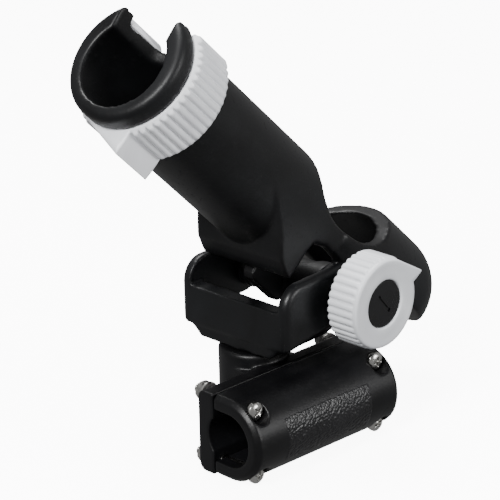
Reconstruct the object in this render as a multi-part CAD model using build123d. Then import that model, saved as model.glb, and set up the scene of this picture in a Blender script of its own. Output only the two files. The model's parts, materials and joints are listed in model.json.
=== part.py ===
from build123d import *
import os
from math import acos, cos, degrees, radians, sin, sqrt, tan

# Adjustable fishing-rod holder on a two-jaw rail clamp.
# Row frame: origin at the middle of the rail bore, X along the rail, -Y towards the clamp's
# front jaw, +Z up.  All sizes are in millimetres.
os.makedirs("parts", exist_ok=True)
far = 60.0                # long enough to pass through any of the pieces

# ---------------------------------------------------------------- rail clamp
rail_r = 12.5            # rail bore, for 25 mm tube
clamp_half = 44.8        # half length along the rail
clamp_h = 19.4           # half height, and radius of the rounded front
split_y = 9.0            # plane between the jaws
split_gap = 0.8          # gap left for clamping
plate_back = 18.7        # back of the rear jaw
plate_corner = 3.6
screw_x, screw_z = 37.5, 15.2
screw_r = 2.5            # M5
screw_hole_r = 2.75
head_r, head_h = 4.2, 3.2
head_seat_y = -9.0       # floor of the screw pockets
pocket_r = 4.9
nut_af, nut_h = 8.0, 4.0
jaw_washer_r, jaw_washer_t = 4.9, 1.0
screw_tip_y = 26.4

# ---------------------------------------------------------------- swivel socket behind the rear jaw
swivel_y = 29.5
boss_r, boss_top = 15.9, 24.6
socket_r = 11.0
socket_floor = -9.0
swivel_bolt_r = 4.0      # M8
swivel_nut_af, swivel_nut_h = 13.0, 6.5

# ---------------------------------------------------------------- yoke (its own frame: pivot at the origin)
yoke_turn = 3.6          # how far the yoke is swivelled at rest, degrees
pivot_ahead = 28.5       # pivot behind the swivel axis
pivot_z = 48.0
arm_in, arm_out = 26.3, 31.9
arm_end = 13.0           # radius of the arms' round ends, about the pivot
arm_low = -17.8
wall_front, wall_t, wall_top = -41.2, 8.0, 1.2
floor_low, floor_low_half = -22.7, 20.5  # floor plate, lower than the arms and bevelled at its sides
floor_top = -15.2
floor_back = -3.5
floor_seat_r = 17.0      # round clearance in the floor for the holder's hub
stem_r_top = 12.4
bolt_seat_r, bolt_seat_depth = 9.4, 1.5
swivel_washer_t, swivel_head_h = 1.2, 4.2

# ---------------------------------------------------------------- tilt pivot
pivot_r = 4.0            # M8
tilt_rest = 44.2         # tube's slope at rest, degrees
sleeve_r = 6.5
disc_r, disc_t = 9.4, 2.4
cheek_r = 11.0           # cheeks' round plates about the pivot
knob_r, knob_len = 21.3, 16.1
knob_back = 38.0         # distance from the middle plane to the knob's back
knob_teeth, knob_tip_r = 36, 27.1
cap_r, cap_depth = 11.0, 3.0
mark_len = 10.0          # slot mark in the cap
nut_floor, knob_nut_h = 5.0, 7.6
bolt_reach = 12.4        # bolt's end beyond the knob's back
spacer_r = 11.5
pivot_washer_t, pivot_head_h, pivot_head_af = 1.56, 5.3, 13.0
disc_teeth = 36

# ---------------------------------------------------------------- holder tube (own frame: pivot origin, +X to the tail)
tube_r, bore_r = 25.8, 20.8
axis_up = 19.4           # tube axis above the pivot
mouth_x = -164.5
tube_end_x = -33.0       # where the full tube's underside ends
dome_x = 55.3            # middle of the tail dome
hood_r = 27.0
hood_rise = 3.6          # the hood bulges above the line of the tube
hood_bore_r = 20.6
hood_x = -12.0           # where the hood takes over from the tube
collar_up = 21.0         # axis of the mouth's collar and of the ring, a little above the tube's
rim_r, lip_r = 28.4, 3.2
slot_half = 38.0         # half angle of the reel slot
slot_end_x = -121.0
ring_front, ring_back = -154.4, -128.6
ring_in, groove_r, ring_root = 24.9, 24.8, 29.4
ring_tip_r, ring_ribs = 38.8, 52
hub_r, hub_core_r = 10.5, 9.0
rib_half, rib_low = 3.0, -15.6          # middle web in front of the hub
cheek_t = 5.0


def save(part, name):
    """Write one piece to its own STEP file."""
    export_step(part, f"parts/{name}.step")


def y_rod(r, y0, y1, x=0.0, z=0.0):
    """Round rod along Y from y0 to y1."""
    return Pos(x, (y0 + y1) / 2, z) * Rot(90, 0, 0) * Cylinder(r, abs(y1 - y0))


def x_rod(r, x0, x1, y=0.0, z=0.0):
    """Round rod along X from x0 to x1."""
    return Pos((x0 + x1) / 2, y, z) * Rot(0, 90, 0) * Cylinder(r, abs(x1 - x0))


def z_rod(r, z0, z1, x=0.0, y=0.0):
    """Round rod along Z from z0 to z1."""
    return Pos(x, y, (z0 + z1) / 2) * Cylinder(r, abs(z1 - z0))


def box(x0, x1, y0, y1, z0, z1):
    """Box from its low and high corners."""
    return Pos((x0 + x1) / 2, (y0 + y1) / 2, (z0 + z1) / 2) * Box(x1 - x0, y1 - y0, z1 - z0)


def hex_prism(af, length):
    """Hexagonal prism along Z from z = 0, with its corners turned off at both ends."""
    prism = extrude(RegularPolygon(af / 2, 6, major_radius=False), length)
    corner = af / sqrt(3)
    cone = Pos(0, 0, length / 2) * Cylinder(corner, length)
    cone = chamfer(cone.edges().filter_by(GeomType.CIRCLE), 0.12 * corner)
    return prism & cone


def xz_plate(pts, y0, y1):
    """Straight-sided plate with its outline in XZ, between two planes of constant Y."""
    face = make_face(Polyline(*[(x, z) for x, z in pts], close=True))
    plate = extrude(face, abs(y1 - y0))            # grows along +Z of the sketch
    return Pos(0, max(y0, y1), 0) * Rot(90, 0, 0) * plate


upper = Location((pivot_ahead * cos(radians(yoke_turn)),
                  swivel_y + pivot_ahead * sin(radians(yoke_turn)), pivot_z), (0, 0, yoke_turn))
holder = upper * Location((0, 0, 0), (0, tilt_rest, 0))
corners = [(sx * screw_x, sz * screw_z) for sx in (-1, 1) for sz in (-1, 1)]

# ================================================================ front jaw
# Half-round block with a straight-sided channel, so it drops over the rail.
profile = Circle(clamp_h) + Pos(split_y / 2, 0) * Rectangle(split_y, 2 * clamp_h)
profile &= Pos(-20, 0) * Rectangle(40 + 2 * (split_y - split_gap / 2), 2 * clamp_h)
channel = Circle(rail_r) + Pos(10, 0) * Rectangle(20, 2 * rail_r)
along_x = Plane(origin=(-clamp_half, 0, 0), x_dir=(0, 1, 0), z_dir=(1, 0, 0))
jaw = extrude(profile, 2 * clamp_half)
end_edges = jaw.edges().filter_by(GeomType.CIRCLE).sort_by(Axis.Z)
jaw = chamfer([end_edges[0], end_edges[-1]], 2.2)
jaw -= extrude(channel, 2 * clamp_half)
jaw = along_x.location * jaw
for x, z in corners:
    jaw -= y_rod(screw_hole_r, -30, 12, x, z)
    jaw -= y_rod(pocket_r, -30, head_seat_y, x, z)
save(jaw, "front_jaw")

# ================================================================ rear jaw with the swivel socket
plate = Pos(0, (split_y + split_gap / 2 + plate_back) / 2, 0) * Box(
    2 * clamp_half, plate_back - split_y - split_gap / 2, 2 * clamp_h)
back_edges = plate.edges().filter_by(Axis.X).sort_by(Axis.Y)[-2:]
plate = fillet(back_edges, plate_corner)
boss = z_rod(boss_r, -clamp_h, boss_top, 0, swivel_y)
boss = fillet(boss.edges().group_by(Axis.Z)[-1], 2.0)
neck = box(-boss_r, boss_r, plate_back - 2, swivel_y, -clamp_h, clamp_h - 2.0)
rear = plate + neck + boss
rear -= x_rod(rail_r, -60, 60)
rear -= z_rod(socket_r, socket_floor, boss_top + 1, 0, swivel_y)
rear -= z_rod(swivel_bolt_r + 0.3, -40, socket_floor + 1, 0, swivel_y)
rear -= Pos(0, swivel_y, -clamp_h - 0.5) * hex_prism(swivel_nut_af + 0.4, swivel_nut_h + 0.8)
for x, z in corners:
    rear -= y_rod(screw_hole_r, 5, 30, x, z)
save(rear, "rear_jaw")

# ================================================================ jaw screws, washers and nuts
screws, washers, nuts = [], [], []
for x, z in corners:
    head = y_rod(head_r, head_seat_y - head_h, head_seat_y, x, z)
    head = fillet(head.edges().group_by(Axis.Y)[0], 1.6)
    screw = head + y_rod(screw_r, head_seat_y - 0.5, screw_tip_y, x, z)
    screw = chamfer(screw.edges().group_by(Axis.Y)[-1], 0.5)
    for spin in (0, 90):
        cross = Rot(0, spin + 20, 0) * Box(4.4, 3.4, 1.0)
        screw -= Pos(x, head_seat_y - head_h, z) * cross
    screws.append(screw)
    washer = y_rod(jaw_washer_r, plate_back + 0.02, plate_back + jaw_washer_t, x, z)
    washers.append(washer - y_rod(screw_hole_r, 15, 30, x, z))
    nut = Pos(x, plate_back + jaw_washer_t + 0.02 + nut_h, z) * Rot(90, 0, 0) * hex_prism(nut_af, nut_h)
    nuts.append(nut - y_rod(screw_r + 0.03, 15, 30, x, z))
save(Compound(children=screws), "jaw_screws")
save(Compound(children=washers), "jaw_washers")
save(Compound(children=nuts), "jaw_nuts")

# ================================================================ yoke
# A flat U of two arms and a low front wall; a round floor pad carries the swivel stem.
side_plate = make_face(Polyline(
    (0, arm_end), (wall_front, arm_end), (wall_front, arm_low), (-1.4, -arm_end + 0.1), close=True))
side_plate = fillet(side_plate.vertices().group_by(Axis.X)[0].sort_by(Axis.Y)[-1], 11.0)
side_plate = fillet(side_plate.vertices().group_by(Axis.X)[0].sort_by(Axis.Y)[0], 1.5)
side_plate += Circle(arm_end)
arms = Pos(0, arm_out, 0) * Rot(90, 0, 0) * extrude(side_plate, 2 * arm_out)
upright = arms.edges().filter_by(Axis.Z).filter_by(lambda e: e.center().X < wall_front + 1)
arms = fillet(upright, 3.0)
arms -= box(wall_front + wall_t, 60, -arm_in, arm_in, -60, 60)
arms -= box(-80, wall_front + wall_t + 1, -arm_in, arm_in, wall_top, 60)
floor_half = arm_in + 1.0
floor_outline = make_face(Polyline((-floor_half, floor_top), (-floor_half, arm_low + 1.0),
                                   (-floor_low_half, floor_low), (floor_low_half, floor_low),
                                   (floor_half, arm_low + 1.0), (floor_half, floor_top), close=True))
floor_start = wall_front + 0.6
floor = Pos(floor_start, 0, 0) * (Plane.YZ.location * extrude(floor_outline, floor_back - floor_start))
floor -= y_rod(floor_seat_r, -far, far)
yoke = arms + floor
yoke += z_rod(stem_r_top, boss_top + 0.4 - pivot_z, floor_low + 1, -pivot_ahead, 0)
yoke += z_rod(socket_r - 0.06, socket_floor + 1.5 - pivot_z, floor_low + 1, -pivot_ahead, 0)
yoke -= z_rod(swivel_bolt_r + 0.06, -far, 0, -pivot_ahead, 0)
seat_z = floor_top - bolt_seat_depth
yoke -= z_rod(bolt_seat_r, seat_z, 0, -pivot_ahead, 0)
yoke -= y_rod(pivot_r + 0.05, -far, far)
save(upper * yoke, "yoke")

# swivel fastening: hex bolt down through the stem, nut held in the foot of the socket
bolt_under = seat_z + swivel_washer_t + 0.04
swivel_washer = z_rod(bolt_seat_r - 0.4, seat_z + 0.02, seat_z + 0.02 + swivel_washer_t, -pivot_ahead, 0)
swivel_washer -= z_rod(swivel_bolt_r + 0.3, -far, far, -pivot_ahead, 0)
save(upper * swivel_washer, "swivel_washer")
swivel_bolt = Pos(-pivot_ahead, 0, bolt_under) * hex_prism(swivel_nut_af, swivel_head_h)
swivel_bolt += z_rod(swivel_bolt_r, -clamp_h + 0.4 - pivot_z, bolt_under + 1, -pivot_ahead, 0)
save(upper * swivel_bolt, "swivel_bolt")
swivel_nut = Pos(0, swivel_y, -clamp_h + 0.3) * hex_prism(swivel_nut_af, swivel_nut_h - 0.3)
swivel_nut -= z_rod(swivel_bolt_r + 0.03, -far, 0, 0, swivel_y)
save(swivel_nut, "swivel_nut")
thrust = z_rod(socket_r - 0.3, socket_floor + 0.05, socket_floor + 1.4, 0, swivel_y)
thrust -= z_rod(swivel_bolt_r + 0.4, -far, far, 0, swivel_y)
save(thrust, "thrust_washer")

# ================================================================ holder tube, hood and cheeks
def tube_solid(r, x0, x1):
    """Round rod about the tube's own axis."""
    return x_rod(r, x0, x1, 0, axis_up)


def collar_solid(r, x0, x1):
    """Round rod about the axis that the mouth's collar and the lock ring share."""
    return x_rod(r, x0, x1, 0, collar_up)


def hood_solid(r, x0):
    """Round-ended rod for the hood, a little above the tube's line."""
    z = axis_up + hood_rise
    return x_rod(r, x0, dome_x, 0, z) + Pos(dome_x, 0, z) * Sphere(r)


collar_back = ring_front - 0.3
body = tube_solid(tube_r, mouth_x + lip_r, 0) + hood_solid(hood_r, hood_x)
collar = collar_solid(rim_r, mouth_x, collar_back)
collar = fillet(collar.edges().group_by(Axis.X)[0], lip_r)
body += collar
# the underside is open from the tube's end back to the tail
under = [(tube_end_x, -far), (tube_end_x, 4.0), (-29.0, 8.0), (-6.0, 15.6), (20.0, 18.0),
         (2 * far, 18.0), (2 * far, -far)]
body -= xz_plate(under, -far, far)
# square-shouldered apron across the tube's underside end, with flat cheeks running back from it
apron = [(-74.0, axis_up), (-50.5, -0.2), (-48.0, -3.4), (-43.6, -7.8), (-37.3, -10.4), (-33.0, -11.6),
         (-31.5, -8.0), (-31.0, 3.0), (-29.0, 8.5), (-26.0, axis_up)]
body += xz_plate(apron, -tube_r, tube_r)
cheek_neck = [(-30.0, axis_up), (-29.0, 8.5), (-21.0, 11.6), (-7.0, 10.0), (-7.0, 5.0), (10.0, 5.0),
              (18.0, axis_up)]
for side in (-1, 1):
    y0, y1 = side * (tube_r - cheek_t), side * tube_r
    body += y_rod(cheek_r, y0, y1) + xz_plate(cheek_neck, y0, y1)
body -= tube_solid(bore_r, mouth_x - 5, tube_end_x)
body -= hood_solid(hood_bore_r, tube_end_x - 0.5)
# reel slot in the upper side, its inner end rounded
slot_w = 2 * tube_r * sin(radians(slot_half)) - 1.0
slot_centre = slot_end_x - slot_w / 2
slot = box(mouth_x - 5, slot_centre, -slot_w / 2, slot_w / 2, axis_up + 8, axis_up + 40)
slot += z_rod(slot_w / 2, axis_up + 8, axis_up + 40, slot_centre, 0)
body -= slot
# saddle cut in the top, behind the full tube
lip_pts = [(-47.0, 60.0), (-42.8, 45.2), (-34.5, 28.5), (-27.0, 24.0), (-14.0, 22.3), (-3.0, 23.2),
           (5.0, 25.5), (11.0, 28.8), (15.5, 33.5), (19.0, 39.0), (22.5, 44.0), (26.5, 49.5), (31.0, 60.0)]
saddle_face = make_face(Spline(*lip_pts) + Line(lip_pts[-1], lip_pts[0]))
body -= Pos(0, far, 0) * Rot(90, 0, 0) * extrude(saddle_face, 2 * far)
# groove for the lock ring, bolt hole and pockets for the tilt discs
body -= collar_solid(far, ring_front, ring_back) - collar_solid(groove_r, ring_front - 1, ring_back + 1)
body -= y_rod(sleeve_r + 0.02, -far, far)
disc_seat = tube_r - disc_t + 0.3
for side in (-1, 1):
    body -= y_rod(disc_r + 0.15, side * disc_seat, side * 40)
save(holder * body, "holder_tube")

# ================================================================ pivot hub between the cheeks
rib = [(-30.5, -7.0), (-30.4, -13.5), (-28.0, rib_low), (-6.0, rib_low), (1.0, -9.5), (0, 0), (-12, -4)]
hub_half = tube_r - cheek_t - 0.02
hub = y_rod(hub_r, -hub_half, hub_half) + xz_plate(rib, -rib_half, rib_half)
hub -= hood_solid(hood_bore_r, -4 * far)
hub += y_rod(hub_core_r, -hub_half, hub_half)
hub -= y_rod(sleeve_r + 0.02, -far, far)
save(holder * hub, "pivot_hub")
sleeve = y_rod(sleeve_r, disc_t - tube_r, tube_r - disc_t)
sleeve -= y_rod(pivot_r + 0.06, -far, far)
save(holder * sleeve, "pivot_sleeve")

# serrated lock discs in the cheeks' pockets, teeth towards the yoke arms
tooth_pitch = 360 / disc_teeth
disc_face = arm_in - 0.12
for side, name in ((-1, "near_tilt_disc"), (1, "far_tilt_disc")):
    disc = y_rod(disc_r, side * (disc_seat + 0.02), side * disc_face)
    disc -= y_rod(pivot_r + 0.3, -far, far)
    notch = Pos(disc_r - 2.0, side * disc_face, 0) * Rot(45, 0, 0) * Box(5.0, 0.7, 0.7)
    disc -= Compound(children=[Rot(0, i * tooth_pitch, 0) * notch for i in range(disc_teeth)])
    save(holder * disc, name)

# ================================================================ pivot bolt, its washer and the knob's spacer
head_y = arm_out + pivot_washer_t + 0.04
pivot_bolt = Pos(0, head_y + pivot_head_h, 0) * Rot(90, 0, 0) * hex_prism(pivot_head_af, pivot_head_h)
pivot_bolt += y_rod(pivot_r, -(knob_back + bolt_reach), head_y + 1)
save(upper * pivot_bolt, "pivot_bolt")
head_washer = y_rod(8.4, arm_out + 0.02, arm_out + 0.02 + pivot_washer_t) - y_rod(pivot_r + 0.2, 0, far)
save(upper * head_washer, "pivot_washer")
spacer = y_rod(spacer_r, -(knob_back - 0.05), -(arm_out + 0.05)) - y_rod(pivot_r + 0.2, -far, 0)
save(upper * spacer, "knob_washer")


# ================================================================ clamp knob
def disc_up(r, length, z=0.0):
    """Round disc along Z, standing on height z."""
    return Pos(0, 0, z) * Cylinder(r, length, align=(Align.CENTER, Align.CENTER, Align.MIN))


def thumb_fin(root_r, tip_r, tip_angle, back_angle, width):
    """Fin with one straight side, tangent to the root circle, running to a point and dropping back."""
    reach = degrees(acos(root_r / tip_r))
    direction = 1 if back_angle < tip_angle else -1
    spots = [(root_r, tip_angle + direction * reach), (tip_r, tip_angle), (root_r - 0.5, back_angle),
             (root_r - 3.0, tip_angle)]
    outline = Polyline(*[(r * cos(radians(a)), r * sin(radians(a))) for r, a in spots], close=True)
    return extrude(make_face(outline), width)


# outline across the axis, x to the tail and y up; ribs over most of it, smooth by the fin
root_r = knob_r - 0.7
rib_pitch = 360 / knob_teeth
shell = disc_up(root_r, knob_len)
shell += [Rot(0, 0, i * rib_pitch) * Pos(root_r - 0.4, 0, 0) * disc_up(1.15, knob_len - 2.2)
          for i in range(knob_teeth) if not 15 < i * rib_pitch < 85]
shell += thumb_fin(root_r, knob_tip_r, 18, 14, knob_len - 0.8)
shell -= disc_up(cap_r + 0.15, 10, knob_len - cap_depth)
shell -= disc_up(17.0, 4.5, -0.5)
shell += disc_up(9.5, 5.0, 0.1)
shell -= Pos(0, 0, nut_floor) * hex_prism(pivot_head_af + 0.3, knob_len)
shell -= disc_up(pivot_r + 0.3, knob_len, -1)
knob_at = upper * Location((0, -knob_back, 0), (90, 0, 0))
save(knob_at * shell, "knob_shell")
knob_nut = Pos(0, 0, nut_floor + 0.1) * hex_prism(pivot_head_af, knob_nut_h) - Cylinder(pivot_r + 0.04, 2 * far)
save(knob_at * knob_nut, "knob_nut")
cap = disc_up(cap_r, cap_depth - 1.0, knob_len - cap_depth + 0.1)
cap = fillet(cap.edges().group_by(Axis.Z)[-1], 0.5)
cap_top = knob_len - 0.9
mark = Box(mark_len, 1.0, 1.2) + [Pos(end * mark_len / 2, 0, 0) * Cylinder(0.95, 1.2) for end in (-1, 1)]
cap -= Pos(0, 0, cap_top) * Rot(0, 0, -50) * mark
save(knob_at * cap, "knob_cap")

# ================================================================ lock ring
# C-shaped, its gap over the reel slot at rest; ribbed, with a thumb fin underneath.
gap_half = slot_half + 2.0
ring_w = ring_back - ring_front - 0.6
ring = x_rod(ring_root, 0, ring_w) - x_rod(ring_in, -5, far)
ring_pitch = 360 / ring_ribs
rib_spots = [gap_half + 14 + ring_pitch * k for k in range(ring_ribs)]
ring += [Rot(a, 0, 0) * x_rod(1.3, 1.4, ring_w - 1.4, 0, ring_root)
         for a in rib_spots if a < 360 - gap_half - 14 and not 151 < a < 205]
fin = thumb_fin(ring_root, ring_tip_r, -106.2, -115, ring_w - 0.8)
ring += Pos(0.4, 0, 0) * (Plane.YZ.location * fin)
# wedge that opens the ring over the slot, about the ring's axis
reach = far * tan(radians(gap_half))
wedge = make_face(Polyline((0, 0), (reach, far), (-reach, far), close=True))
ring -= Pos(-5, 0, 0) * (Plane.YZ.location * extrude(wedge, 2 * far))
save(holder * Pos(ring_front + 0.3, 0, collar_up) * ring, "lock_ring")
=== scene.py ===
import json
import bmesh
import bpy
import numpy as np
from mathutils import Matrix, Vector


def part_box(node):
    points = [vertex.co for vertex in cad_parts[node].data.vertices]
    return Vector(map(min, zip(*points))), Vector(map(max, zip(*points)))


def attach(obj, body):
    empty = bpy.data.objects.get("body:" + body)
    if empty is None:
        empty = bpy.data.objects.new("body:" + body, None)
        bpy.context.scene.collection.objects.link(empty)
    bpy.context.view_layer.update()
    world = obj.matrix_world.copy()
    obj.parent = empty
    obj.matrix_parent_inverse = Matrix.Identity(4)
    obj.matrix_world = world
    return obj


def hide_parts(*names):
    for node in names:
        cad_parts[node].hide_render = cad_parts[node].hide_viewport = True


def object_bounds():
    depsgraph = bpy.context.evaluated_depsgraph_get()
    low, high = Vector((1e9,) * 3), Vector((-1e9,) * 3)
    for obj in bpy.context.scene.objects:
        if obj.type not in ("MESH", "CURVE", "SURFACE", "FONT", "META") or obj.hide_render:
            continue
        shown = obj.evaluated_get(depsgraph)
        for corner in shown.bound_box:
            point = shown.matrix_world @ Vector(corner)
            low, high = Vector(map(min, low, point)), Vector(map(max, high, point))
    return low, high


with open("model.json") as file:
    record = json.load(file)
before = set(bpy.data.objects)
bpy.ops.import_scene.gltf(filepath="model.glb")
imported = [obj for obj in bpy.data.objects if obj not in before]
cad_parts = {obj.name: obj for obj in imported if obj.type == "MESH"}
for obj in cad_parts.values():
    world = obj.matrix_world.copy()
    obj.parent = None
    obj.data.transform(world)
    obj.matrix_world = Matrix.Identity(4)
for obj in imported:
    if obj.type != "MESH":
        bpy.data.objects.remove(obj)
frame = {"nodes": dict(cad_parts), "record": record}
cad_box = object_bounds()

# =====================================================================================
# Studio: a white paper sweep under the lowest piece, soft lights and a long lens.
# The holder stands clear of walls, seen from its left front and a little above.
# =====================================================================================
view_azimuth, view_elevation, view_roll = -43.42, 21.65, 1.33    # degrees
view_distance = 1.400                                            # metres from the rail bore
lens_mm, sensor_mm = 225.6, 36.0
aim_right, aim_up = -0.0208, 0.0721                              # lens axis from the rail bore, metres

turn, lift, tip = np.radians([view_azimuth, view_elevation, view_roll])
back = np.array([np.sin(turn) * np.cos(lift), -np.cos(turn) * np.cos(lift), np.sin(lift)])
right = np.array([np.cos(turn), np.sin(turn), 0.0])
above = np.cross(back, right)
camera = bpy.data.objects.new("camera", bpy.data.cameras.new("camera"))
camera.data.lens, camera.data.sensor_width = lens_mm, sensor_mm
camera.data.clip_start, camera.data.clip_end = 0.01, 20.0
pose = np.eye(4)
pose[:3, 0] = np.cos(tip) * right - np.sin(tip) * above
pose[:3, 1] = np.sin(tip) * right + np.cos(tip) * above
pose[:3, 2] = back
pose[:3, 3] = back * view_distance + right * aim_right + above * aim_up
camera.matrix_world = Matrix(pose.tolist())
bpy.context.scene.collection.objects.link(camera)
bpy.context.scene.camera = camera


def linear(hex_colour):
    """sRGB hex such as "1c1d20" to linear RGBA."""
    c = np.array([int(hex_colour[i:i + 2], 16) for i in (0, 2, 4)]) / 255
    c = np.where(c <= 0.04045, c / 12.92, ((c + 0.055) / 1.055) ** 2.4)
    return (*c.tolist(), 1.0)


def soft_light(name, at, size, power):
    """Square area light at a place in metres, aimed at the middle of the holder."""
    lamp = bpy.data.lights.new(name, "AREA")
    lamp.shape, lamp.size, lamp.energy = "SQUARE", size, power
    stand = bpy.data.objects.new(name, lamp)
    bpy.context.scene.collection.objects.link(stand)
    middle = Vector(((cad_box[0] + cad_box[1]) / 2)[:])
    stand.location = Vector(at)
    stand.rotation_mode = "QUATERNION"
    stand.rotation_quaternion = (Vector(at) - middle).to_track_quat("Z", "Y")


soft_light("key light", (-1.00, -0.35, 1.00), 0.45, 34.0)
soft_light("front fill", (0.55, -1.20, 0.50), 0.6, 14.0)
soft_light("top light", (0.25, 0.45, 1.25), 0.6, 22.0)

world = bpy.data.worlds.new("white studio")
bpy.context.scene.world = world
world.use_nodes = True
world.node_tree.nodes["Background"].inputs["Color"].default_value = linear("ffffff")
world_glow, paper_glow = 0.35, 9.0
world.node_tree.nodes["Background"].inputs["Strength"].default_value = world_glow

floor_half, floor_gap = 6.0, 0.0005              # metres; the gap keeps the lowest piece off the paper
floor_z = float(cad_box[0][2]) - floor_gap
corner = np.array([[-1, -1], [1, -1], [1, 1], [-1, 1]]) * floor_half
floor_mesh = bpy.data.meshes.new("floor")
floor_mesh.from_pydata(np.c_[corner, np.full(4, floor_z)].tolist(), [], [(0, 1, 2, 3)])
floor = bpy.data.objects.new("floor", floor_mesh)
bpy.context.scene.collection.objects.link(floor)
paper = bpy.data.materials.new("white paper sweep")   # matt paper, lit from behind so it reads white
paper.use_nodes = True
paper_shader = paper.node_tree.nodes["Principled BSDF"]
paper_shader.inputs["Base Color"].default_value = linear("fcfcfc")
paper_shader.inputs["Roughness"].default_value = 0.9
paper_shader.inputs["Specular IOR Level"].default_value = 0.1
paper_shader.inputs["Emission Color"].default_value = linear("ffffff")
paper_shader.inputs["Emission Strength"].default_value = paper_glow
floor_mesh.materials.append(paper)
# the paper's glow is kept off the holder, in diffuse and in glossy light
floor.visible_diffuse = False
floor.visible_glossy = False

# =====================================================================================
# Rail clamp: two jaws of black glass-filled nylon, moulded with a spark-eroded satin
# grain and small rounded edges.  Copies of the CAD jaws are remeshed finely and their
# edges relaxed, as a moulded edge is; four screws pull the jaws together on the rail.
# =====================================================================================
def add_node(tree, kind, settings=None, links=None):
    """Add one shader node, set its properties or sockets by name, and link its sockets to outputs."""
    made = tree.nodes.new(kind)
    for key, value in (settings or {}).items():
        if isinstance(key, str) and hasattr(made, key):
            setattr(made, key, value)
        else:
            made.inputs[key].default_value = value
    for key, source in (links or {}).items():
        tree.links.new(source, made.inputs[key])
    return made


def moulded_plastic(name, dark, light, roughness, grain_mm, grain_um, ior, scuff=0.0, flow_mm=30.0):
    """Moulded plastic: grain of grain_mm by grain_um high, colour that drifts over flow_mm along
    the flow, gloss that changes in clouds, and fine scuffs that raise the roughness."""
    scuffs_per_m, ripples_per_m = 260.0, 90.0        # scuffs about 4 mm across, sink ripple about 11 mm
    ripple_rise = 0.00006
    mat = bpy.data.materials.new(name)
    mat.use_nodes = True
    tree = mat.node_tree
    shader = tree.nodes["Principled BSDF"]
    where = add_node(tree, "ShaderNodeTexCoord").outputs["Object"]
    flow = add_node(tree, "ShaderNodeTexNoise",
                    {"Scale": 1000 / flow_mm, "Detail": 4.0, "Distortion": 0.6}, {"Vector": where})
    tint = add_node(tree, "ShaderNodeValToRGB", links={"Fac": flow.outputs["Fac"]})
    ends = tint.color_ramp.elements
    ends[0].position, ends[0].color = 0.32, linear(dark)
    ends[1].position, ends[1].color = 0.70, linear(light)
    scratches = add_node(tree, "ShaderNodeTexNoise",
                         {"Scale": scuffs_per_m, "Detail": 2.0, "Distortion": 2.5}, {"Vector": where})
    rubbed = add_node(tree, "ShaderNodeMapRange",
                      {"From Min": 0.60, "From Max": 0.75, "To Min": 0.0, "To Max": scuff},
                      {"Value": scratches.outputs["Fac"]})
    gloss = add_node(tree, "ShaderNodeMapRange",
                     {"From Min": 0.3, "From Max": 0.7,
                      "To Min": roughness - 0.05, "To Max": roughness + 0.06},
                     {"Value": flow.outputs["Fac"]})
    total = add_node(tree, "ShaderNodeMath", {"operation": "ADD", "use_clamp": True},
                     {0: gloss.outputs["Result"], 1: rubbed.outputs["Result"]})
    fine = add_node(tree, "ShaderNodeTexNoise",
                    {"Scale": 1000 / grain_mm, "Detail": 3.0, "Roughness": 0.65}, {"Vector": where})
    ripple = add_node(tree, "ShaderNodeTexNoise", {"Scale": ripples_per_m, "Detail": 1.0}, {"Vector": where})
    soft = add_node(tree, "ShaderNodeBump", {"Distance": ripple_rise}, {"Height": ripple.outputs["Fac"]})
    bump = add_node(tree, "ShaderNodeBump", {"Distance": grain_um / 1e6},
                    {"Height": fine.outputs["Fac"], "Normal": soft.outputs["Normal"]})
    tree.links.new(tint.outputs["Color"], shader.inputs["Base Color"])
    tree.links.new(total.outputs["Value"], shader.inputs["Roughness"])
    tree.links.new(bump.outputs["Normal"], shader.inputs["Normal"])
    shader.inputs["IOR"].default_value = ior
    return mat


# spark-eroded moulds leave a satin grain: black stays deep, and edges show as soft grey lines;
# the panel is a little glossier, so that its pebbles catch small highlights
jaw_nylon = moulded_plastic("spark-grained black nylon, jaws", "050506", "0c0c0e", 0.40, 0.7, 40, 1.33, 0.20)
grip_nylon = moulded_plastic("stippled black nylon, jaw panel", "060607", "101012", 0.34, 0.5, 30, 1.42)


def moulded_copy(node_name, body, voxel, passes, material):
    """Copy of a CAD node with its loose triangles merged, remeshed at voxel metres and relaxed for
    a number of passes, so that every edge is rounded by about a voxel; it replaces the node."""
    shape = bmesh.new()
    shape.from_mesh(frame["nodes"][node_name].data)
    bmesh.ops.remove_doubles(shape, verts=shape.verts, dist=1e-6)
    mesh = bpy.data.meshes.new(node_name + "_moulding")
    shape.to_mesh(mesh)
    shape.free()
    mesh.materials.clear()
    mesh.materials.append(material)
    piece = bpy.data.objects.new(node_name + "_moulding", mesh)
    bpy.context.scene.collection.objects.link(piece)
    remesh = piece.modifiers.new("fine skin", "REMESH")
    remesh.mode, remesh.voxel_size, remesh.use_smooth_shade = "VOXEL", voxel, True
    relax = piece.modifiers.new("rounded edges", "SMOOTH")
    relax.factor, relax.iterations = 0.5, passes
    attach(piece, body)
    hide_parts(node_name)


moulded_copy("front_jaw", "clamp", 0.0006, 5, jaw_nylon)
moulded_copy("rear_jaw", "clamp", 0.0006, 5, jaw_nylon)


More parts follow.
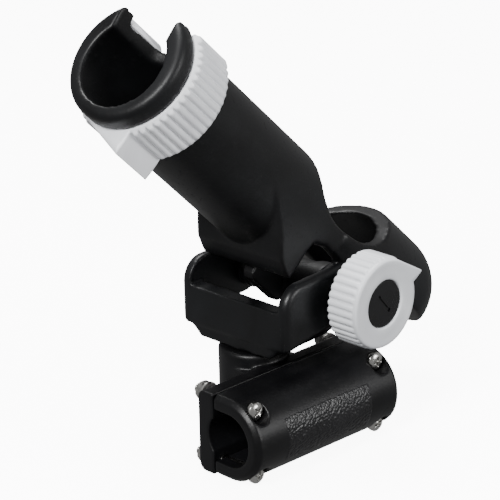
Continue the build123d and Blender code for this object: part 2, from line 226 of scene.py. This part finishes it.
def grid_mesh(name, points, close_rows, close_columns, caps=False, uv=None):
    """Mesh from a grid of points (rows x columns x 3, in metres), with its rows and columns joined
    round where asked, and its first and last row closed by one face each where caps is set."""
    rows, columns = points.shape[:2]
    r = np.arange(rows if close_rows else rows - 1)[:, None]
    c = np.arange(columns if close_columns else columns - 1)[None, :]
    r2, c2 = (r + 1) % rows, (c + 1) % columns
    quads = np.stack([r * columns + c, r * columns + c2, r2 * columns + c2, r2 * columns + c], axis=-1)
    faces = quads.reshape(-1, 4).tolist()
    if caps:
        faces.append(np.arange(columns)[::-1].tolist())
        faces.append(((rows - 1) * columns + np.arange(columns)).tolist())
    mesh = bpy.data.meshes.new(name)
    mesh.from_pydata(points.reshape(-1, 3).tolist(), [], faces)
    outward = bmesh.new()
    outward.from_mesh(mesh)
    bmesh.ops.recalc_face_normals(outward, faces=outward.faces)
    outward.to_mesh(mesh)
    outward.free()
    mesh.shade_smooth()
    return mesh


def add_piece(name, mesh, body, slot_name, material, *nodes):
    """Put a finished mesh in the scene at the origin, on its body, in place of CAD nodes."""
    mesh.materials.append(material)
    piece = bpy.data.objects.new(name, mesh)
    bpy.context.scene.collection.objects.link(piece)
    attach(piece, body)
    if nodes:
        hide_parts(*nodes)


# Stippled panel moulded into the middle of the front jaw: a closed skin on a cylinder about the
# rail, radius = jaw radius + rim fade x (height of the nearest random pebble), back sunk in the jaw.
jaw_low, jaw_high = (np.array(v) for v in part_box("front_jaw"))
jaw_radius = (jaw_high[2] - jaw_low[2]) / 2
panel_half, panel_from, panel_to = 0.0270, np.radians(-36), np.radians(34)
panel_steps, panel_turns, panel_rim = 190, 96, 0.0015
panel_sunk, panel_lift, panel_back = 0.0003, 0.00032, 0.0009     # rim, top and back, from the jaw's skin
pebble_size, pebble_rise, pebble_reach = 0.0011, 0.00030, 0.62   # reach is a share of the size
dice = np.random.default_rng(7)
along = np.linspace(-panel_half, panel_half, panel_steps)
around = np.linspace(panel_from, panel_to, panel_turns)
panel_x, panel_a = np.meshgrid(along, around, indexing="ij")
flat = np.stack([panel_x.ravel(), panel_a.ravel() * jaw_radius], axis=1)
cells = np.stack(np.meshgrid(np.arange(along[0], along[-1], pebble_size),
                             np.arange(around[0] * jaw_radius, around[-1] * jaw_radius, pebble_size),
                             indexing="ij"), axis=-1).reshape(-1, 2)
cells = cells + dice.uniform(-0.5, 0.5, cells.shape) * pebble_size
sizes = dice.uniform(0.35, 1.0, len(cells))
gap = np.concatenate([np.sqrt(((part[:, None] - cells[None]) ** 2).sum(-1)).astype(np.float32)
                      for part in np.array_split(flat, 24)])
nearest = gap.argmin(axis=1)
pebble = np.clip(1 - (gap.min(axis=1) / (pebble_reach * pebble_size)) ** 2, 0, 1) * sizes[nearest]
edge_x = np.clip((panel_half - np.abs(panel_x)) / panel_rim, 0, 1)
edge_a = np.clip(np.minimum(panel_a - panel_from, panel_to - panel_a) * jaw_radius / panel_rim, 0, 1)
fade = edge_x * edge_a
radius = jaw_radius - panel_sunk + fade * (panel_lift + pebble_rise * pebble.reshape(panel_x.shape))
skin = np.stack([panel_x, -radius * np.cos(panel_a), radius * np.sin(panel_a)], axis=-1)
sunk = np.stack([panel_x, -(jaw_radius - panel_back) * np.cos(panel_a),
                 (jaw_radius - panel_back) * np.sin(panel_a)], axis=-1)
panel_loop = np.concatenate([skin, sunk[:, ::-1]], axis=1)
add_piece("grip_panel", grid_mesh("grip_panel", panel_loop, False, True, caps=True),
          "clamp", "jaw_black", grip_nylon)

# =====================================================================================
# Jaw screws, washers and nuts: A2 stainless pan-head machine screws, cold-headed with a
# cross recess and rolled threads; plain washers and hexagon nuts behind the rear jaw.
# =====================================================================================
def worked_metal(name, colour, roughness, lay_mm, lay_um):
    """Steel or brass: even metal, fine forming or turning marks of lay_mm by lay_um high, and soft
    blotches of roughness where it was rolled or tumbled."""
    blotches_per_m = 420.0                          # blotches about 2.4 mm across
    mat = bpy.data.materials.new(name)
    mat.use_nodes = True
    tree = mat.node_tree
    shader = tree.nodes["Principled BSDF"]
    where = add_node(tree, "ShaderNodeTexCoord").outputs["Object"]
    marks = add_node(tree, "ShaderNodeTexNoise",
                     {"Scale": 1000 / lay_mm, "Detail": 2.0, "Distortion": 1.0}, {"Vector": where})
    blotch = add_node(tree, "ShaderNodeTexNoise",
                      {"Scale": blotches_per_m, "Detail": 3.0}, {"Vector": where})
    gloss = add_node(tree, "ShaderNodeMapRange",
                     {"From Min": 0.3, "From Max": 0.7,
                      "To Min": roughness * 0.7, "To Max": roughness * 1.6},
                     {"Value": blotch.outputs["Fac"]})
    bump = add_node(tree, "ShaderNodeBump", {"Distance": lay_um / 1e6}, {"Height": marks.outputs["Fac"]})
    tree.links.new(gloss.outputs["Result"], shader.inputs["Roughness"])
    tree.links.new(bump.outputs["Normal"], shader.inputs["Normal"])
    shader.inputs["Base Color"].default_value = linear(colour)
    shader.inputs["Metallic"].default_value = 1.0
    return mat


# cold-headed crowns are bright with small dents; nuts and stamped washers are a little duller
screw_steel = worked_metal("A2 stainless, cold headed", "b9b8b5", 0.20, 0.6, 25)
nut_steel = worked_metal("A2 stainless, cold formed nuts", "aaa9a6", 0.28, 0.5, 25)
washer_steel = worked_metal("A2 stainless, stamped washers", "b4b3b0", 0.30, 0.4, 20)


def merged(meshes, name):
    """One mesh from several."""
    whole = bmesh.new()
    for mesh in meshes:
        whole.from_mesh(mesh)
    bmesh.ops.recalc_face_normals(whole, faces=whole.faces)
    mesh = bpy.data.meshes.new(name)
    whole.to_mesh(mesh)
    whole.free()
    mesh.shade_smooth()
    return mesh


screw_low, screw_high = (np.array(v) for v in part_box("jaw_screws"))
head_r, head_h, shank_r = 0.0042, 0.0032, 0.00245
thread_pitch, thread_depth, thread_length = 0.0008, 0.00022, 0.016
crown_drop, crown_dome, head_side, head_bevel = 0.0011, 0.0003, 0.0020, 0.0001
bar_half, bar_slope, bar_reach, bar_end, recess_depth = 0.00062, 0.00022, 0.0024, 0.0006, 0.0013
pole_r, tip_bevel, turn_steps, shank_steps = 0.00002, 0.0005, 96, 190
screw_x = (screw_high[0] - screw_low[0]) / 2 - head_r
screw_z = (screw_high[2] - screw_low[2]) / 2 - head_r
crown_y, tip_y = screw_low[1], screw_high[1]


def screw_surface(x0, z0, spin):
    """Screw about an axis along Y, on a grid of turn by profile: crown height falls with the fourth
    power of radius, the cross recess is two crossed bars with sloping walls, and the shank's radius
    follows a triangle wave that climbs one pitch a turn."""
    turn_a = np.linspace(0, 2 * np.pi, turn_steps, endpoint=False)[:, None]
    crown_r = np.linspace(0.00002, 1.0, 44)[None, :] * head_r
    crown = crown_drop * (crown_r / head_r) ** 4 + crown_dome * (crown_r / head_r) ** 2
    u, v = crown_r * np.cos(turn_a + spin), crown_r * np.sin(turn_a + spin)

    def bar(p, q):
        across = np.clip((bar_half - np.abs(p)) / bar_slope, 0, 1)
        return across * np.clip((bar_reach - np.abs(q)) / bar_end, 0, 1)

    recess = np.maximum(bar(u, v), bar(v, u)) * recess_depth
    top = crown_y + crown + recess
    rows = [(np.broadcast_to(crown_r, top.shape), top)]
    side = np.array([[head_r, crown_y + head_side], [head_r, crown_y + head_h - head_bevel],
                     [head_r - head_bevel, crown_y + head_h], [shank_r, crown_y + head_h]])
    rows.append([np.broadcast_to(column, (turn_steps, len(side))) for column in side.T])
    shank_y = np.linspace(crown_y + head_h + 0.0002, tip_y - 0.0004, shank_steps)[None, :]
    phase = (shank_y / thread_pitch + turn_a / (2 * np.pi)) % 1.0
    wave = 1 - np.abs(2 * phase - 1)
    cut = np.clip((shank_y - (tip_y - thread_length)) / 0.001, 0, 1)
    shank = shank_r - thread_depth * (1 - wave) * cut
    rows.append((shank, np.broadcast_to(shank_y, shank.shape)))
    end = np.array([[shank_r - tip_bevel, tip_y], [pole_r, tip_y]])
    rows.append([np.broadcast_to(column, (turn_steps, len(end))) for column in end.T])
    radius = np.concatenate([r for r, _ in rows], axis=1)
    y = np.concatenate([h for _, h in rows], axis=1)
    return np.stack([x0 + radius * np.cos(turn_a), y, z0 + radius * np.sin(turn_a)], axis=-1).swapaxes(0, 1)


spins = iter((0.35, 0.9, 1.25, 0.1))
screw_meshes = [grid_mesh("one screw", screw_surface(sx * screw_x, sz * screw_z, next(spins)),
                          False, True, caps=True) for sx in (-1, 1) for sz in (-1, 1)]
add_piece("pan_head_screws", merged(screw_meshes, "pan_head_screws"),
          "clamp", "screw_steel", screw_steel, "jaw_screws")


def finish_node(name, material):
    """Give a CAD node that stays its finished material."""
    for place in frame["nodes"][name].material_slots:
        place.material = material


finish_node("jaw_washers", washer_steel)
finish_node("jaw_nuts", nut_steel)

# =====================================================================================
# Swivel: an M8 hexagon bolt, washer and nut in A2 stainless hold the yoke's stem down in
# the socket, on a white acetal thrust washer turned from rod.
# =====================================================================================
# forged and tumbled, with coarser marks than the screws
bolt_steel = worked_metal("A2 stainless, forged bolts", "b0afac", 0.26, 0.8, 30)
# turned acetal: waxy white with faint tool rings, a little yellow
thrust_acetal = moulded_plastic("turned natural acetal", "d6d4cb", "e4e2da", 0.32, 0.4, 15, 1.48)
finish_node("swivel_bolt", bolt_steel)
finish_node("swivel_washer", washer_steel)
finish_node("swivel_nut", nut_steel)
finish_node("thrust_washer", thrust_acetal)

# =====================================================================================
# Yoke: one moulding of black glass-filled nylon, a flat U with round arm ends on a stem
# that turns in the socket.  Grained like the jaws, with softly rounded edges.
# =====================================================================================
# the same nylon from another mould, slightly glossier than the jaws
yoke_nylon = moulded_plastic("spark-grained black nylon, yoke", "060607", "0e0f11",
                             0.36, 0.7, 34, 1.36, 0.16)
moulded_copy("yoke", "yoke", 0.0007, 6, yoke_nylon)

# =====================================================================================
# Holder tube: a thick black nylon tube with a rolled collar at its mouth, a reel slot,
# a saddle cut and a round hood at its tail, in one moulding; the hub is fixed inside.
# =====================================================================================
# the tube's grain is the coarsest; the hub, inside, is duller and less rubbed
tube_nylon = moulded_plastic("spark-grained black nylon, tube", "050506", "0d0e10",
                             0.42, 0.8, 42, 1.34, 0.20, 45.0)
hub_nylon = moulded_plastic("spark-grained black nylon, hub", "040405", "0a0a0c",
                            0.45, 0.7, 36, 1.33, 0.10)
moulded_copy("holder_tube", "holder", 0.0009, 6, tube_nylon)
moulded_copy("pivot_hub", "holder", 0.0006, 3, hub_nylon)

# =====================================================================================
# Tilt pivot: an M8 bolt through both arms in a stainless sleeve, with a serrated lock disc
# of grey acetal in each cheek, and a black nylon spacer between the near arm and the knob.
# =====================================================================================
# moulded acetal is waxy, the turned spacer a little duller, and the drawn sleeve bright
lock_acetal = moulded_plastic("moulded grey acetal, lock discs", "4a4c50", "5a5c60", 0.36, 0.5, 18, 1.48)
spacer_nylon = moulded_plastic("turned black nylon, spacer", "060607", "0c0c0d", 0.38, 0.4, 22, 1.36)
sleeve_steel = worked_metal("drawn stainless tube, sleeve", "b6b5b2", 0.24, 0.5, 18)
finish_node("near_tilt_disc", lock_acetal)
finish_node("far_tilt_disc", lock_acetal)
finish_node("pivot_sleeve", sleeve_steel)
finish_node("pivot_bolt", bolt_steel)
finish_node("pivot_washer", washer_steel)
finish_node("knob_washer", spacer_nylon)

# =====================================================================================
# Clamp knob: a white acetal moulding with axial ribs and a pointed thumb fin, a hexagon
# brass insert inside it, and a black snap-in cap with a small slot mark in its face.
# =====================================================================================
joints = {joint["name"]: joint for joint in frame["record"]["behaviour"]["joints"]}
pivot = np.array(joints["tilt"]["pos_m"])
away = np.array(joints["tilt"]["axis"])
away = away / np.linalg.norm(away)
up = np.array([0.0, 0.0, 1.0])
tailward = np.cross(away, up)

knob_root, knob_crest, knob_tip = 0.0206, 0.02135, 0.0271
knob_teeth, knob_length, knob_start = 36, 0.0161, 0.0380
rib_pitch, rib_share = 360 / knob_teeth, 0.36         # degrees; half a rib as a share of the pitch
ribs_from, ribs_to, land_from, land_to = 86, 13, 56, 88
tip_turn, fin_end = np.radians(18), np.radians(14)
tangent_turn = tip_turn + np.arccos(knob_root / knob_tip)
cap_pocket, pocket_floor = 0.01115, knob_length - 0.0030

knob_turns = np.linspace(0, 2 * np.pi, knob_teeth * 16, endpoint=False)
degrees_round = np.degrees(knob_turns)


def fin_radius(a, root, tip_r, tip_a, tangent_a, end_a):
    """Outline of a thumb fin: a straight line tangent to the root circle at tangent_a, up to the
    point at tip_a, then a steep fall back to the root at end_a; radius = root / cos(turn)."""
    span = (a - tangent_a) * np.sign(tip_a - tangent_a)
    reach = abs(tip_a - tangent_a)
    line = root / np.cos(np.clip(span, 0, reach))
    fall = np.clip((a - tip_a) / (end_a - tip_a), 0, 1)
    after = (a - tip_a) * np.sign(tip_a - tangent_a) > 0
    return np.where(after, tip_r + (root - tip_r) * fall, np.where(span > 0, line, root))


knob_fin = fin_radius(knob_turns, knob_root, knob_tip, tip_turn, tangent_turn, fin_end)
rib_phase = (degrees_round / rib_pitch + 0.5) % 1.0 - 0.5
rib_wave = np.sqrt(np.clip(1 - (rib_phase / rib_share) ** 2, 0, 1))
ribbed = (degrees_round > ribs_from) | (degrees_round < ribs_to)
smooth_land = np.clip((degrees_round - land_from) / 8, 0, 1) * np.clip((land_to - degrees_round) / 3, 0, 1)
knob_rise = np.where(ribbed, rib_wave, smooth_land) * (knob_crest - knob_root)

# profile round the wall, as distance along the axis and radius: the relieved back face, then the
# ribbed wall, then the front face with the cap's pocket and the insert's bore
inner = np.array([(0.0001, 0.0043), (0.0001, 0.0088), (0.0003, 0.0093), (0.0040, 0.0095),
                  (0.0040, 0.0165), (0.0037, 0.0170), (0.0003, 0.0171), (0.0, 0.0174)])
outer_run = np.concatenate([[0.0, 0.0003, 0.0008], np.linspace(0.0014, knob_length - 0.0034, 14),
                            knob_length - np.array([0.0029, 0.0025, 0.0022, 0.0019, 0.0016, 0.0012, 0.0008,
                                                    0.0005, 0.0002, 0.0])])
outer_dip = np.interp(outer_run, [0, 0.0003, 0.0008, knob_length - 0.0012, knob_length - 0.0008,
                                  knob_length - 0.0005, knob_length - 0.0002, knob_length],
                      [0.0007, 0.0002, 0, 0, 0.0001, 0.0003, 0.0006, 0.0012])
rib_end = np.sqrt(np.clip(1 - np.clip((outer_run - (knob_length - 0.0036)) / 0.0018, 0, 1) ** 2, 0, 1))
face = np.array([(knob_length - 0.00015, 0.0180), (knob_length - 0.0003, 0.0145),
                 (knob_length - 0.0002, 0.0121), (knob_length - 0.0004, 0.01150),
                 (knob_length - 0.0010, cap_pocket), (pocket_floor, cap_pocket), (pocket_floor, 0.0079),
                 (pocket_floor - 0.0002, 0.00765), (0.0050, 0.00765), (0.0050, 0.0045), (0.0048, 0.0043)])
count = len(knob_turns)
outline = knob_fin[:, None] + knob_rise[:, None] * rib_end[None, :] - outer_dip[None, :]
knob_r = np.concatenate([np.broadcast_to(inner[:, 1], (count, len(inner))), outline,
                         np.broadcast_to(face[:, 1], (count, len(face)))], axis=1)
knob_d = knob_start + np.concatenate([inner[:, 0], outer_run, face[:, 0]])[None, :, None]
knob_points = (pivot + knob_r[..., None] * (np.cos(knob_turns)[:, None, None] * tailward
                                            + np.sin(knob_turns)[:, None, None] * up) - knob_d * away)
# acetal is a bright, slightly cool white with a soft waxy gloss
knob_acetal = moulded_plastic("moulded white acetal, knob", "c6c8cc", "d8dadd",
                              0.38, 0.6, 26, 1.48, 0.12, 25.0)
add_piece("ribbed_knob", grid_mesh("ribbed_knob", knob_points, True, True),
          "knob", "knob_white", knob_acetal, "knob_shell")

# brass is warm and turned; the cap is the glossiest of the black mouldings
insert_brass = worked_metal("turned brass, insert", "b08d57", 0.30, 0.5, 20)
cap_nylon = moulded_plastic("moulded black nylon, cap", "060607", "101013", 0.30, 0.6, 20, 1.42, 0.10)
finish_node("knob_nut", insert_brass)
finish_node("knob_cap", cap_nylon)

# =====================================================================================
# Lock ring: a C-shaped white acetal moulding that snaps in the groove behind the collar
# and turns to close the reel slot.  It has axial ribs and a pointed thumb fin; lettering
# that such rings carry is left out.
# =====================================================================================
ring_centre = np.array(joints["ring_lock"]["pos_m"])
ring_axis = np.array(joints["ring_lock"]["axis"])
ring_axis = ring_axis / np.linalg.norm(ring_axis)
ring_up = np.cross(ring_axis, away)
ring_inner, ring_root, ring_tip = 0.0249, 0.0294, 0.0388
ring_width, ring_rib_rise, ring_rib_share = 0.0252, 0.0013, 0.40
ring_front = -ring_width / 2                  # from the joint's point, along the axis
rib_count, steps_per_rib, gap_half, end_land = 52, 14, 40.0, 14      # gap and land in degrees
fin_from, fin_to = 153, 206                   # degrees from the gap's middle that the fin keeps free
fin_point, fin_tangent, fin_root = np.radians([164, 204.7, 155])

ring_deg = np.linspace(gap_half, 360 - gap_half, rib_count * steps_per_rib)
ring_a = np.radians(ring_deg)
from_gap = np.minimum(ring_deg, 360 - ring_deg)
pitch = 360 / rib_count
first_rib = gap_half + end_land
ring_phase = ((ring_deg - first_rib) / pitch + 0.5) % 1.0 - 0.5
ring_wave = np.sqrt(np.clip(1 - (ring_phase / ring_rib_share) ** 2, 0, 1))
ring_ribbed = (from_gap > first_rib - 3) & ~((ring_deg > fin_from) & (ring_deg < fin_to))
end_block = np.clip((from_gap - gap_half) / 2, 0, 1) * np.clip((first_rib - 4 - from_gap) / 2, 0, 1)
ring_rise = ring_rib_rise * np.where(ring_ribbed, ring_wave, end_block)
ring_fin = fin_radius(ring_a, ring_root, ring_tip, fin_point, fin_tangent, fin_root)

side_x = np.array([0.0012, 0.0004, 0.0, 0.0, 0.0])
side_r = np.array([0.0, 0.0001, 0.0005, 0.0024, 0.0038])
edge_steps = np.array([0.0002, 0.0006, 0.0012, 0.0016, 0.0021, 0.0027])
run_x = np.concatenate([edge_steps, np.linspace(0.0035, ring_width - 0.0035, 12),
                        ring_width - edge_steps[::-1]])
from_edge = np.minimum(run_x, ring_width - run_x)
edge_dip = np.interp(from_edge, [0.0, 0.0002, 0.0006, 0.0012], [0.0012, 0.0005, 0.0001, 0])
near_end = np.clip((from_edge - 0.0010) / 0.0016, 0, 1)
rib_fade = np.sqrt(1 - (1 - near_end) ** 2)
fin_fade = np.clip(from_edge / 0.0006, 0, 1) ** 0.5
ring_outline = (ring_root + ring_rise[:, None] * rib_fade
                + (ring_fin - ring_root)[:, None] * fin_fade - edge_dip)
rows = len(ring_a)
inner_back = np.array([ring_width - 0.0060, ring_width / 2, 0.0060])
ring_x = np.concatenate([side_x, run_x, ring_width - side_x[::-1], inner_back])
ring_r = np.concatenate([np.broadcast_to(ring_inner + side_r, (rows, len(side_r))), ring_outline,
                         np.broadcast_to(ring_inner + side_r[::-1], (rows, len(side_r))),
                         np.full((rows, len(inner_back)), ring_inner)], axis=1)
ring_points = (ring_centre + (ring_front + ring_x)[None, :, None] * ring_axis
               + ring_r[..., None] * (np.cos(ring_a)[:, None, None] * ring_up
                                      - np.sin(ring_a)[:, None, None] * away))
# the same white acetal as the knob's, a little brighter and duller
ring_acetal = moulded_plastic("moulded white acetal, ring", "cccdd1", "dddfe2",
                              0.40, 0.6, 30, 1.48, 0.14, 25.0)
add_piece("ribbed_ring", grid_mesh("ribbed_ring", ring_points, False, True, caps=True),
          "ring", "ring_white", ring_acetal, "lock_ring")
